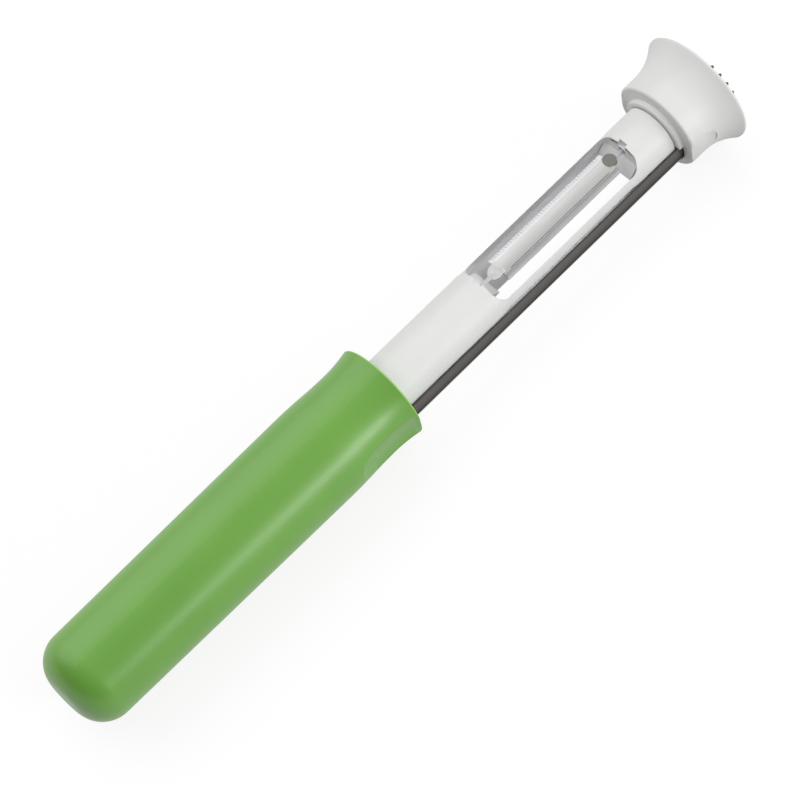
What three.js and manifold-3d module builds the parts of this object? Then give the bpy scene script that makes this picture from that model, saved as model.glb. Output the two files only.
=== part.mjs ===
// Fruit corer with a pull-off cover: an open steel coring tube in a hollow green handle,
// and a white half-round cover that closes the tube and carries a swivel peeler and a fish scaler.
// Millimetres, +Z up. The tool lies along X with its closed handle end at -X and its head at +X.
import * as THREE from 'three';
import { mergeVertices } from 'three/addons/utils/BufferGeometryUtils.js';
import Module from 'manifold-3d';

const wasm = await Module();
wasm.setup();

// Clearances
const FIT_GAP = 0.3;
const SEAM_GAP = 0.3;
const END_GAP = 1;

// Coring tube, an open steel section hung below the tool's axis
const TUBE_R = 9.95;
const TUBE_WALL = 0.45;
const TUBE_BORE = TUBE_R - TUBE_WALL;
const TUBE_DROP = 3.25;
const TUBE_EDGE_Z = 0;
const TUBE_SHOULDER = 1;
const TUBE_SIDES = 30;
const TANG_FOOT_Z = -5;
const TIP_TEETH = 9;
const TIP_TOOTH_DEPTH = 3.2;
const TIP_TOOTH_WIDTH = 3.6;

// Plug inside the handle that grips the tube's tang and takes the cover's tail
const PLUG_R = TUBE_R + 2.15;
const PLUG_FRONT = -7;
const PLUG_LENGTH = 38;
const PLUG_BACK = PLUG_FRONT - PLUG_LENGTH;
const PLUG_LEDGE = 0.4;
const SOCKET_DEPTH = 8;
const SOCKET_BACK = PLUG_FRONT - SOCKET_DEPTH;
const TANG_BACK = PLUG_BACK + 0.13 * PLUG_LENGTH;

// Cross pins through the plug and the tube's tang
const PIN_R = 1.25;
const PIN_Z = TANG_FOOT_Z / 2;
const PIN_FRONT_X = PLUG_FRONT - 0.342 * PLUG_LENGTH;
const PIN_REAR_X = PLUG_FRONT - 0.658 * PLUG_LENGTH;

// Handle, measured back from its mouth
const HANDLE_LENGTH = 120;
const HANDLE_WALL = 1.6;
const HANDLE_END_R = PLUG_R + FIT_GAP + HANDLE_WALL;
const HANDLE_BELLY_R = HANDLE_END_R + 0.6;
const HANDLE_BELLY_X = -27;
const HANDLE_WAIST_R = HANDLE_END_R + 0.1;
const HANDLE_WAIST_X = -9;
const HANDLE_MOUTH_R = HANDLE_END_R + 1;
const HANDLE_END_ROUND = 9.5;
const HANDLE_END_WALL = 2;
const HANDLE_LIP = 0.5;
const HANDLE_SIDES = 32;

// Cover shell, an arch that closes the open side of the tube
const SHELL_R = TUBE_BORE - 0.9;
const SHELL_WALL = 1.3;
const SHELL_EDGE_Z = -0.6;
const SHELL_TAIL = SOCKET_BACK + END_GAP;
const SHELL_SIDES = 24;

// Peeler window in the cover, with a slim rail on each side and a web across each end
const WINDOW_START = 38.5;
const WINDOW_LENGTH = 57;
const WINDOW_END = WINDOW_START + WINDOW_LENGTH;
const WINDOW_WIDTH = 2 * (SHELL_R - 1);
const WINDOW_CORNER = 3.4;
const RAIL_STEP = 0.15;
const RAIL_LEAD = 1;
const RAIL_EDGE_Z = 0.3;
const RAIL_SLANT = 3;
const WEB_THICK = 1.5;
const WEB_MARGIN = 1.3;

// Long slot in the tube's back, through which a thumb pushes the core out
const CORE_SLOT_WIDTH = 7.6;
const CORE_SLOT_LEAD = 6.5;
const CORE_SLOT_CORNER = 3;

// Far end of the cover, where a spigot enters the head
const SHELL_STUB = 12;
const SHELL_END = WINDOW_END + SHELL_STUB;
const SPIGOT_R = SHELL_R - 0.6;

// Swivel peeler blade, pressed from sheet, with stub pivots in its bent ends
const PIVOT_Z = 4.9;
const PIVOT_R = 0.6;
const PIVOT_HOLE_R = 1.3;
const PIVOT_BITE = 1.2;
const BLADE_START = WINDOW_START + 7.3;
const BLADE_END = WINDOW_END - 5.2;
const BLADE_WIDTH = 8.6;
const BLADE_THICK = 0.65;
const BLADE_TOP_Z = PIVOT_Z + 1.3;
const BLADE_CROWN_R = 7.5;
const EAR_LENGTH = 2.4;
const LONG_EAR_LENGTH = 3.4;
const EAR_WIDTH = 4.6;
const EAR_FALL = 1.9;
const PEEL_SLOT_WIDTH = 0.7;
const PEEL_SLOT_Y = -2;
const PEEL_SLOT_MARGIN = 2.5;

// Head, a flared bell on the cover's far end
const COLLAR_LENGTH = 1.6;
const COLLAR_R = SHELL_R + 1.7;
const COLLAR_EDGE_Z = TUBE_EDGE_Z + 0.5;
const HEAD_BASE = SHELL_END + SEAM_GAP + COLLAR_LENGTH;
const HEAD_BASE_R = TUBE_R + TUBE_DROP + FIT_GAP + 0.7;
const HEAD_LENGTH = 17.1;
const HEAD_RIM = HEAD_BASE + HEAD_LENGTH;
const HEAD_SKIRT = 0.3 * HEAD_LENGTH;
const HEAD_RIM_R = HEAD_BASE_R + 4.2;
const HEAD_RIM_LIP = 0.5;
const HEAD_FLOOR = 4;
const HEAD_POCKET_END = HEAD_RIM - HEAD_FLOOR;
const HEAD_SIDES = 32;
const SPIGOT_END = HEAD_BASE + 0.43 * HEAD_LENGTH;
const TUBE_TIP = HEAD_POCKET_END - END_GAP;

// Thumb scoops, one on each side of the handle's mouth and of the head
const SCOOP_WIDTH = 11.4;
const SCOOP_DEPTH = 0.9;
const HANDLE_SCOOP_LENGTH = 22;
const HANDLE_SCOOP_LIP = 0.5;
const HEAD_SCOOP_LENGTH = 9;

// Scaler plate with rings of punched teeth
const PLATE_R = HEAD_RIM_R - 2.2;
const PLATE_THICK = 0.8;
const PLATE_SINK = 1.3;
const SCALER_MARGIN = 2.2;
const SCALER_RINGS = 4;
const SCALER_RING_STEP = 3.6;
const SCALER_PITCH = 3.14;
const SCALER_GROUPS = 4;
const SCALER_GROUP_TEETH = 4;
const SCALER_TURN = -38;
const SCALER_TOOTH_R = 1.1;
const SCALER_TIP = HEAD_RIM + 2.2;

// The tool lies on the head's rim, and the origin is below the middle of its length
const AXIS_Z = HEAD_RIM_R * Math.cos(Math.PI / HEAD_SIDES);
const AXIS_X = (HANDLE_LENGTH - SCALER_TIP) / 2;

const GREEN = 0x5fa834;
const WHITE = 0xe6e6e4;
const STEEL = 0xb9bbbd;

// Closed mesh to solid and back
function toSolid(geometry) {
  const bare = geometry.index ? geometry.toNonIndexed() : geometry.clone();
  bare.deleteAttribute('normal');
  bare.deleteAttribute('uv');
  const welded = mergeVertices(bare, 1e-4);
  const mesh = new wasm.Mesh({
    numProp: 3,
    vertProperties: new Float32Array(welded.attributes.position.array),
    triVerts: new Uint32Array(welded.index.array),
  });
  return new wasm.Manifold(mesh);
}

function toGeometry(solid) {
  const mesh = solid.getMesh();
  const geometry = new THREE.BufferGeometry();
  geometry.setAttribute('position', new THREE.BufferAttribute(new Float32Array(mesh.vertProperties), 3));
  geometry.setIndex(new THREE.BufferAttribute(new Uint32Array(mesh.triVerts), 1));
  geometry.computeVertexNormals();
  return geometry;
}

// Revolve [x, radius] points about the tool's axis, with a flat facing straight down
function revolve(profile, sides) {
  const points = profile.map(([x, r]) => new THREE.Vector2(Math.max(r, 0), x));
  const geometry = new THREE.LatheGeometry(points, sides, Math.PI / sides);
  geometry.rotateZ(-Math.PI / 2);
  return toSolid(geometry);
}

// Extrude a section drawn in Y and Z along X
function alongX(shape, start, end, curveSegments) {
  const depth = end - start;
  const geometry = new THREE.ExtrudeGeometry(shape, { depth, bevelEnabled: false, curveSegments });
  const basis = new THREE.Matrix4().makeBasis(
    new THREE.Vector3(0, 1, 0),
    new THREE.Vector3(0, 0, 1),
    new THREE.Vector3(1, 0, 0),
  );
  geometry.applyMatrix4(basis);
  geometry.translate(start, 0, 0);
  return toSolid(geometry);
}

// Extrude a plan drawn in X and Y along Z
function alongZ(shape, bottom, top, curveSegments) {
  const depth = top - bottom;
  const geometry = new THREE.ExtrudeGeometry(shape, { depth, bevelEnabled: false, curveSegments });
  geometry.translate(0, 0, bottom);
  return toSolid(geometry);
}

// Extrude a side view drawn in X and Z across Y
function alongY(shape, near, far, curveSegments) {
  const depth = far - near;
  const geometry = new THREE.ExtrudeGeometry(shape, { depth, bevelEnabled: false, curveSegments });
  geometry.rotateX(Math.PI / 2);
  geometry.translate(0, far, 0);
  return toSolid(geometry);
}

function rectangle(left, bottom, right, top) {
  const shape = new THREE.Shape();
  shape.moveTo(left, bottom);
  shape.lineTo(right, bottom);
  shape.lineTo(right, top);
  shape.lineTo(left, top);
  shape.closePath();
  return shape;
}

function roundedRectangle(left, bottom, right, top, corner) {
  const shape = new THREE.Shape();
  shape.moveTo(left + corner, bottom);
  shape.absarc(right - corner, bottom + corner, corner, -Math.PI / 2, 0, false);
  shape.absarc(right - corner, top - corner, corner, 0, Math.PI / 2, false);
  shape.absarc(left + corner, top - corner, corner, Math.PI / 2, Math.PI, false);
  shape.absarc(left + corner, bottom + corner, corner, Math.PI, Math.PI * 1.5, false);
  return shape;
}

// Part of a round bar along X above or below a level, as a section in Y and Z
function capSection(radius, centreZ, level, upper) {
  const reach = Math.asin((level - centreZ) / radius);
  const shape = new THREE.Shape();
  if (upper) {
    shape.absarc(0, centreZ, radius, reach, Math.PI - reach, false);
  } else {
    shape.absarc(0, centreZ, radius, Math.PI - reach, Math.PI * 2 + reach, false);
  }
  shape.closePath();
  return shape;
}

// Arched wall above a level, its feet cut level
function archWall(outer, inner, level, start, end) {
  const solid = alongX(capSection(outer, 0, level, true), start, end, SHELL_SIDES);
  const bore = alongX(capSection(inner, 0, level - 1, true), start - 1, end + 1, SHELL_SIDES);
  return solid.subtract(bore);
}

// Thumb scoops on both sides: a plan with one round end, and a floor given as [x, y] points
function scoopCut(solid, edge, length, floor, reach) {
  const half = SCOOP_WIDTH / 2;
  const way = Math.sign(length);
  const turn = edge + length - way * half;
  const plan = new THREE.Shape();
  plan.moveTo(edge - way, -half);
  plan.lineTo(turn, -half);
  plan.absarc(turn, 0, half, -Math.PI / 2, Math.PI / 2, way < 0);
  plan.lineTo(edge - way, half);
  plan.closePath();
  let carved = solid;
  [1, -1].forEach((side) => {
    const section = new THREE.Shape();
    floor.forEach(([x, y], i) => (i ? section.lineTo(x, side * y) : section.moveTo(x, side * y)));
    section.lineTo(floor[floor.length - 1][0], side * reach);
    section.lineTo(floor[0][0], side * reach);
    section.closePath();
    const body = alongZ(section, -half - 1, half + 1);
    carved = carved.subtract(alongY(plan, -reach, reach, 10).intersect(body));
  });
  return carved;
}

function handleOutline() {
  const outline = new THREE.Path();
  const flat = HANDLE_END_R - HANDLE_END_ROUND;
  outline.moveTo(-HANDLE_LENGTH, flat);
  outline.absarc(-HANDLE_LENGTH + HANDLE_END_ROUND, flat, HANDLE_END_ROUND, Math.PI, Math.PI / 2, true);
  outline.lineTo(HANDLE_BELLY_X, HANDLE_BELLY_R);
  const half = (HANDLE_BELLY_X + HANDLE_WAIST_X) / 2;
  outline.bezierCurveTo(half, HANDLE_BELLY_R, half, HANDLE_WAIST_R, HANDLE_WAIST_X, HANDLE_WAIST_R);
  outline.quadraticCurveTo(HANDLE_WAIST_X / 2, HANDLE_WAIST_R, -HANDLE_LIP, HANDLE_MOUTH_R);
  outline.lineTo(0, HANDLE_MOUTH_R - HANDLE_LIP);
  return outline.getPoints(8).map((point) => [point.x, point.y]);
}

function handleScoopFloor() {
  const low = HANDLE_WAIST_R - SCOOP_DEPTH;
  const floor = new THREE.Path();
  floor.moveTo(-HANDLE_SCOOP_LENGTH, HANDLE_BELLY_R + SCOOP_DEPTH / 9);
  floor.quadraticCurveTo(HANDLE_WAIST_X - HANDLE_SCOOP_LENGTH * 0.36, low, HANDLE_WAIST_X, low);
  floor.quadraticCurveTo(HANDLE_WAIST_X / 2, low, 0, HANDLE_MOUTH_R - HANDLE_SCOOP_LIP);
  floor.lineTo(1, HANDLE_MOUTH_R - HANDLE_SCOOP_LIP);
  return floor.getPoints(8).map((point) => [point.x, point.y]);
}

function buildHandle() {
  const bore = PLUG_R + FIT_GAP;
  const core = PLUG_R - PLUG_LEDGE;
  const shoulder = PLUG_BACK - FIT_GAP;
  const floor = -HANDLE_LENGTH + HANDLE_END_WALL;
  const turn = HANDLE_END_ROUND - HANDLE_END_WALL;
  const profile = [
    [-HANDLE_LENGTH, 0],
    ...handleOutline(),
    [0, bore],
    [shoulder, bore],
    [shoulder, core],
    [floor + turn, core],
    [floor, core - turn],
    [floor, 0],
  ];
  const body = revolve(profile, HANDLE_SIDES);
  return scoopCut(body, 0, -HANDLE_SCOOP_LENGTH, handleScoopFloor(), HANDLE_MOUTH_R + 1);
}

// Opening that the tube and the cover's arch pass through, at a working gap
function socketOpening(start, end, archRadius, floorZ) {
  const arch = alongX(capSection(archRadius, 0, SHELL_EDGE_Z - FIT_GAP, true), start, end, SHELL_SIDES);
  const tubeLevel = TUBE_EDGE_Z + FIT_GAP;
  const round = alongX(capSection(TUBE_R + FIT_GAP, -TUBE_DROP, tubeLevel, false), start, end, TUBE_SIDES);
  const reach = TUBE_R + TUBE_DROP;
  const band = alongX(rectangle(-reach, floorZ, reach, reach), start - 1, end + 1);
  return arch.add(round.intersect(band));
}

function tubeSection(outer, inner, level) {
  const outerReach = Math.asin((level + TUBE_DROP) / outer);
  const innerReach = Math.asin((level + TUBE_DROP) / inner);
  const shape = new THREE.Shape();
  shape.absarc(0, -TUBE_DROP, outer, Math.PI - outerReach, Math.PI * 2 + outerReach, false);
  shape.absarc(0, -TUBE_DROP, inner, Math.PI * 2 + innerReach, Math.PI - innerReach, true);
  shape.closePath();
  return shape;
}

function crossPin(x, radius, reach) {
  const geometry = new THREE.CylinderGeometry(radius, radius, reach * 2, 14);
  geometry.translate(x, 0, PIN_Z);
  return toSolid(geometry);
}

function pinReach() {
  return Math.sqrt(PLUG_R ** 2 - (PIN_R - PIN_Z) ** 2) - FIT_GAP;
}

function buildPlug() {
  const profile = [[PLUG_BACK, 0], [PLUG_BACK, PLUG_R], [PLUG_FRONT, PLUG_R], [PLUG_FRONT, 0]];
  const body = revolve(profile, HANDLE_SIDES);
  const socket = socketOpening(SOCKET_BACK, PLUG_FRONT + 1, SHELL_R + FIT_GAP, TANG_FOOT_Z - FIT_GAP);
  const section = tubeSection(TUBE_R + FIT_GAP, TUBE_BORE - FIT_GAP, TUBE_EDGE_Z + FIT_GAP);
  const slits = alongX(section, TANG_BACK - FIT_GAP, PLUG_FRONT + 1, TUBE_SIDES);
  const reach = TUBE_R + TUBE_DROP;
  const belowTang = rectangle(-reach, -2 * reach, reach, TANG_FOOT_Z - FIT_GAP);
  const below = alongX(belowTang, PLUG_BACK, PLUG_FRONT + 2);
  const holes = [PIN_FRONT_X, PIN_REAR_X].map((x) => crossPin(x, PIN_R + FIT_GAP, PLUG_R + 1));
  return body.subtract(socket).subtract(slits.subtract(below)).subtract(holes[0]).subtract(holes[1]);
}

// Saw-tooth notches round the tube's tip
function tipNotches() {
  const span = Math.PI + 2 * Math.asin((TUBE_EDGE_Z + TUBE_DROP) / TUBE_R);
  const first = -Math.PI - Math.asin((TUBE_EDGE_Z + TUBE_DROP) / TUBE_R);
  const notch = new THREE.Shape();
  notch.moveTo(TUBE_TIP - TIP_TOOTH_DEPTH, 0);
  notch.lineTo(TUBE_TIP + 0.2, -TIP_TOOTH_WIDTH / 2);
  notch.lineTo(TUBE_TIP + 0.2, TIP_TOOTH_WIDTH / 2);
  notch.closePath();
  const notches = [];
  for (let i = 0; i < TIP_TEETH; i += 1) {
    const angle = first + (span * (i + 0.5)) / TIP_TEETH;
    const geometry = new THREE.ExtrudeGeometry(notch, { depth: TUBE_R, bevelEnabled: false });
    geometry.translate(0, 0, TUBE_R - 3 * TUBE_WALL);
    geometry.rotateX(angle - Math.PI / 2);
    geometry.translate(0, 0, -TUBE_DROP);
    notches.push(toSolid(geometry));
  }
  return notches;
}

function coreSlot() {
  const half = CORE_SLOT_WIDTH / 2;
  const start = WINDOW_START - CORE_SLOT_LEAD;
  const end = WINDOW_END + CORE_SLOT_LEAD;
  const plan = roundedRectangle(start, -half, end, half, CORE_SLOT_CORNER);
  return alongZ(plan, -TUBE_DROP - TUBE_R - 1, -TUBE_DROP, 4);
}

function buildTube() {
  const section = tubeSection(TUBE_R, TUBE_BORE, TUBE_EDGE_Z);
  let tube = alongX(section, TANG_BACK, TUBE_TIP, TUBE_SIDES);
  const reach = TUBE_R + TUBE_DROP;
  const belowTang = rectangle(-reach, -2 * reach, reach, TANG_FOOT_Z);
  tube = tube.subtract(alongX(belowTang, TANG_BACK - 1, TUBE_SHOULDER));
  [PIN_FRONT_X, PIN_REAR_X].forEach((x) => {
    tube = tube.subtract(crossPin(x, PIN_R + FIT_GAP, TUBE_R + 1));
  });
  tipNotches().forEach((notch) => {
    tube = tube.subtract(notch);
  });
  return tube.subtract(coreSlot());
}

// Ring that takes a shallow step off the arch beside the window
function railStep() {
  const start = WINDOW_START - RAIL_LEAD;
  const end = WINDOW_END + RAIL_LEAD;
  const slim = SHELL_R - RAIL_STEP;
  const outer = SHELL_R + 1;
  return revolve([
    [start, slim],
    [start, outer],
    [end, outer],
    [end, slim],
    [start, slim],
  ], 2 * SHELL_SIDES);
}

// Cut that lifts the arch's lower edges beside the window, with slanted ends
function railLift() {
  const start = WINDOW_START - RAIL_LEAD;
  const end = WINDOW_END + RAIL_LEAD;
  const side = new THREE.Shape();
  side.moveTo(start, SHELL_EDGE_Z - 1);
  side.lineTo(end, SHELL_EDGE_Z - 1);
  side.lineTo(end, SHELL_EDGE_Z);
  side.lineTo(end - RAIL_SLANT, RAIL_EDGE_Z);
  side.lineTo(start + RAIL_SLANT, RAIL_EDGE_Z);
  side.lineTo(start, SHELL_EDGE_Z);
  side.closePath();
  return alongY(side, -SHELL_R - 1, SHELL_R + 1);
}

// Web across the cover's arch, with a round hole for a stub pivot
function web(start) {
  const end = start + WEB_THICK;
  const foot = PIVOT_Z - PIVOT_HOLE_R - WEB_MARGIN;
  const wall = alongX(capSection(SHELL_R - SHELL_WALL / 2, 0, foot, true), start, end, SHELL_SIDES);
  const hole = new THREE.CylinderGeometry(PIVOT_HOLE_R, PIVOT_HOLE_R, WEB_THICK + 2, 16);
  hole.rotateZ(-Math.PI / 2);
  hole.translate((start + end) / 2, 0, PIVOT_Z);
  return wall.subtract(toSolid(hole));
}

function buildShell() {
  const inner = SHELL_R - SHELL_WALL;
  let shell = archWall(SHELL_R, inner, SHELL_EDGE_Z, SHELL_TAIL, SHELL_END);
  shell = shell.subtract(railStep()).subtract(railLift());
  shell = shell.add(archWall(SPIGOT_R, inner, SHELL_EDGE_Z, SHELL_END - 1, SPIGOT_END));
  const half = WINDOW_WIDTH / 2;
  const plan = roundedRectangle(WINDOW_START, -half, WINDOW_END, half, WINDOW_CORNER);
  shell = shell.subtract(alongZ(plan, SHELL_EDGE_Z - 1, SHELL_R + 1, 6));
  return shell.add(web(WINDOW_START - WEB_THICK)).add(web(WINDOW_END));
}

function buildHead() {
  const seat = HEAD_RIM - PLATE_SINK;
  const waist = HEAD_BASE + HEAD_SKIRT;
  const outline = new THREE.Path();
  outline.moveTo(HEAD_BASE, HEAD_BASE_R);
  outline.lineTo(waist, HEAD_BASE_R);
  outline.quadraticCurveTo((waist + HEAD_RIM) / 2, HEAD_BASE_R, HEAD_RIM - HEAD_RIM_LIP, HEAD_RIM_R);
  outline.lineTo(HEAD_RIM, HEAD_RIM_R - HEAD_RIM_LIP);
  const bell = outline.getPoints(8).map((point) => [point.x, point.y]);
  const profile = [
    [HEAD_BASE, 0],
    ...bell,
    [HEAD_RIM, PLATE_R + FIT_GAP],
    [seat, PLATE_R + FIT_GAP],
    [seat, 0],
  ];
  let head = revolve(profile, HEAD_SIDES);
  const collarStart = SHELL_END + SEAM_GAP;
  const collarSection = capSection(COLLAR_R, 0, COLLAR_EDGE_Z, true);
  const collar = alongX(collarSection, collarStart, HEAD_BASE + 1, SHELL_SIDES);
  head = head.add(collar);
  head = head.subtract(socketOpening(collarStart - 1, HEAD_POCKET_END, SPIGOT_R + FIT_GAP, -2 * TUBE_R));
  const low = HEAD_BASE_R - SCOOP_DEPTH;
  const floor = [[HEAD_BASE - 2, low], [HEAD_RIM, low]];
  return scoopCut(head, HEAD_BASE, HEAD_SCOOP_LENGTH, floor, HEAD_RIM_R + 1);
}

// One punched tooth, at an angle from the crown
function tooth(radius, angle, base) {
  const geometry = new THREE.ConeGeometry(SCALER_TOOTH_R, SCALER_TIP - base, 6);
  geometry.rotateZ(-Math.PI / 2);
  geometry.translate((SCALER_TIP + base) / 2, 0, 0);
  geometry.translate(0, radius * Math.sin(angle), radius * Math.cos(angle));
  return toSolid(geometry);
}

// Teeth of the outer ring stand in groups, and those of the inner rings all round
function toothAngles(ring, radius) {
  const angles = [];
  if (ring === 0) {
    const step = SCALER_PITCH / radius;
    for (let i = 0; i < SCALER_GROUPS; i += 1) {
      const middle = THREE.MathUtils.degToRad(SCALER_TURN) + (i / SCALER_GROUPS) * Math.PI * 2;
      for (let k = 0; k < SCALER_GROUP_TEETH; k += 1) {
        angles.push(middle + (k - (SCALER_GROUP_TEETH - 1) / 2) * step);
      }
    }
    return angles;
  }
  const count = Math.floor((2 * Math.PI * radius) / SCALER_PITCH);
  for (let i = 0; i < count; i += 1) {
    angles.push(((i + 0.5) / count) * Math.PI * 2);
  }
  return angles;
}

function buildPlate() {
  const back = HEAD_RIM - PLATE_SINK + FIT_GAP;
  const front = back + PLATE_THICK;
  let plate = revolve([[back, 0], [back, PLATE_R], [front, PLATE_R], [front, 0]], HEAD_SIDES);
  for (let i = 0; i < SCALER_RINGS; i += 1) {
    const radius = PLATE_R - SCALER_MARGIN - i * SCALER_RING_STEP;
    toothAngles(i, radius).forEach((angle) => {
      plate = plate.add(tooth(radius, angle, back + PLATE_THICK / 2));
    });
  }
  return plate;
}

// Bent ear at one end of the blade, its tip rounded in plan, with a stub pivot
function bladeEar(edge, way, length, pivotEnd) {
  const under = BLADE_TOP_Z - BLADE_THICK;
  const tip = edge + way * length;
  const side = new THREE.Shape();
  side.moveTo(edge - way, BLADE_TOP_Z - 0.1);
  side.lineTo(edge, BLADE_TOP_Z - 0.1);
  side.lineTo(tip, BLADE_TOP_Z - EAR_FALL);
  side.lineTo(tip, under - EAR_FALL);
  side.lineTo(edge, under);
  side.lineTo(edge - way, under);
  side.closePath();
  const half = EAR_WIDTH / 2;
  const low = Math.min(edge - 2 * way, tip);
  const high = Math.max(edge - 2 * way, tip);
  const plan = alongZ(roundedRectangle(low, -half, high, half, half * 0.95), 0, SHELL_R, 6);
  const strip = alongY(side, -half, half).intersect(plan);
  const start = edge + way * length * 0.5;
  const stub = new THREE.CylinderGeometry(PIVOT_R, PIVOT_R, Math.abs(pivotEnd - start), 12);
  stub.rotateZ(-Math.PI / 2);
  stub.translate((start + pivotEnd) / 2, 0, PIVOT_Z);
  return strip.add(toSolid(stub));
}

function buildBlade() {
  const half = BLADE_WIDTH / 2;
  const centre = BLADE_TOP_Z - BLADE_CROWN_R;
  const sweep = Math.asin(half / BLADE_CROWN_R);
  const section = new THREE.Shape();
  section.absarc(0, centre, BLADE_CROWN_R, Math.PI / 2 - sweep, Math.PI / 2 + sweep, false);
  section.absarc(0, centre, BLADE_CROWN_R - BLADE_THICK, Math.PI / 2 + sweep, Math.PI / 2 - sweep, true);
  section.closePath();
  const outline = alongZ(roundedRectangle(BLADE_START, -half, BLADE_END, half, 1.2), 0, SHELL_R, 4);
  const leaf = alongX(section, BLADE_START, BLADE_END, 10).intersect(outline);
  const slotHalf = PEEL_SLOT_WIDTH / 2;
  const slotStart = BLADE_START + PEEL_SLOT_MARGIN;
  const slotEnd = BLADE_END - PEEL_SLOT_MARGIN;
  const low = PEEL_SLOT_Y - slotHalf;
  const high = PEEL_SLOT_Y + slotHalf;
  const slot = alongZ(roundedRectangle(slotStart, low, slotEnd, high, slotHalf * 0.9), 0, SHELL_R, 4);
  const front = bladeEar(BLADE_START, -1, LONG_EAR_LENGTH, WINDOW_START - PIVOT_BITE);
  const rear = bladeEar(BLADE_END, 1, EAR_LENGTH, WINDOW_END + PIVOT_BITE);
  return leaf.subtract(slot).add(front).add(rear);
}

function piece(name, solid, color, roughness, metalness) {
  const material = new THREE.MeshStandardMaterial({ color, roughness, metalness });
  const mesh = new THREE.Mesh(toGeometry(solid), material);
  mesh.name = name;
  return mesh;
}

const tool = new THREE.Group();
tool.position.set(AXIS_X, 0, AXIS_Z);
tool.add(piece('handle', buildHandle(), GREEN, 0.45, 0));
tool.add(piece('handle_plug', buildPlug(), WHITE, 0.5, 0));
tool.add(piece('coring_tube', buildTube(), STEEL, 0.25, 1));
tool.add(piece('tang_pin_front', crossPin(PIN_FRONT_X, PIN_R, pinReach()), STEEL, 0.35, 1));
tool.add(piece('tang_pin_rear', crossPin(PIN_REAR_X, PIN_R, pinReach()), STEEL, 0.35, 1));
tool.add(piece('cover_shell', buildShell(), WHITE, 0.4, 0));
tool.add(piece('cover_head', buildHead(), WHITE, 0.4, 0));
tool.add(piece('scaler_plate', buildPlate(), STEEL, 0.35, 1));
tool.add(piece('peeler_blade', buildBlade(), STEEL, 0.3, 1));

export default tool;
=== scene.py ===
"""Fruit corer with a pull-off cover: visual model, camera and studio.

Sizes are millimetres in the tool's own frame until a piece is dressed: x runs from the handle's mouth
to the head, y to the tool's left and z to the cover's crown. Materials and the studio use metres.
"""
import math

import bmesh
import bpy
from mathutils import Matrix, Vector


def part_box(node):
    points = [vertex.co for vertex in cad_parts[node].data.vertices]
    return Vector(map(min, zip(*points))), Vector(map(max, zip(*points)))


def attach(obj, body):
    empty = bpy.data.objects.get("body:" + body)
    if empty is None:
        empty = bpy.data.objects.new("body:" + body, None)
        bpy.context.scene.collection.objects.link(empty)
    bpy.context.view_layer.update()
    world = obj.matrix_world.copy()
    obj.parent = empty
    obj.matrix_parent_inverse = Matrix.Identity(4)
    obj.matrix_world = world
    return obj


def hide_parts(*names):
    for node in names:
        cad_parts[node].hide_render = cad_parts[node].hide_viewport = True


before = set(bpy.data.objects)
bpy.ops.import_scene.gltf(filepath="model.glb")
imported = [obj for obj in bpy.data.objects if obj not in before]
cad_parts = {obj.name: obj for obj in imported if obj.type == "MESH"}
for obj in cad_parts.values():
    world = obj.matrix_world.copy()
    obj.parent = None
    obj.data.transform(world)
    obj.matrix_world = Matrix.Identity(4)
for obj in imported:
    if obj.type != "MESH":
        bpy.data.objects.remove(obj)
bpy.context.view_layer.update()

# The tool's own frame, from the solid of the handle: its mouth is x = 0 and its axis is z = 0
MM = 0.001
handle_low, handle_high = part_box("handle")
AXIS_X = round(handle_high.x / MM, 3)
AXIS_Z = round((handle_low.z + handle_high.z) / 2 / MM, 4)
PLACE = Matrix.Translation((AXIS_X * MM, 0, AXIS_Z * MM)) @ Matrix.Scale(MM, 4)


def extent(node_name, axis):
    """First and last place of a solid along one axis of the tool's own frame."""
    origin = (AXIS_X, 0, AXIS_Z)[axis]
    return [round(corner[axis] / MM - origin, 3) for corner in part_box(node_name)]


# Places and sizes read from the solids
HANDLE_BACK, MOUTH = extent("handle", 0)
PLUG_BACK = extent("handle_plug", 0)[0]
TUBE_TIP = extent("coring_tube", 0)[1]
SHELL_TAIL = extent("cover_shell", 0)[0]
SHELL_R = extent("cover_shell", 1)[1]
SHELL_EDGE_Z = extent("cover_shell", 2)[0]
COLLAR_START, HEAD_RIM = extent("cover_head", 0)
PLATE_BACK = extent("scaler_plate", 0)[0]
STUB_BACK, STUB_FRONT = extent("peeler_blade", 0)
BLADE_RIGHT = extent("peeler_blade", 1)[0]

# Gaps between pieces, and how far a cutter stands past what it cuts
FIT_GAP = 0.3
SEAM_GAP = 0.3
OVER = 1.0

# Handle
HANDLE_SIDES = 128
HANDLE_END_R = 14.0
HANDLE_END_ROUND = 9.5
HANDLE_END_WALL = 2.0
BELLY_X = -27.0
BELLY_R = HANDLE_END_R + 0.6
WAIST_X = -9.0
WAIST_R = HANDLE_END_R + 0.1
MOUTH_R = HANDLE_END_R + 1
LIP_ROUND = 0.6
MOUTH_CHAMFER = 0.5
PLUG_BORE_R = 12.4
HOLLOW_R = 11.7
HOLLOW_END_R = 4.2
HANDLE_SCOOP_LENGTH = 22.0
HANDLE_SCOOP_HALF = 5.25
HANDLE_SCOOP_FLOOR = 12.95
HANDLE_SCOOP_RISE = 0.35
HANDLE_SCOOP_MOUTH_R = 14.3

# Coring tube
TUBE_R = 9.95
TUBE_BORE = TUBE_R - 0.45
TUBE_DROP = 3.25
TUBE_SHOULDER = 1.0
TANG_BACK = PLUG_BACK + 5
TANG_FOOT_Z = -5.0
TIP_TEETH = 9
TIP_TOOTH_DEPTH = 3.2
TIP_NOTCH_HALF = 1.95

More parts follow.
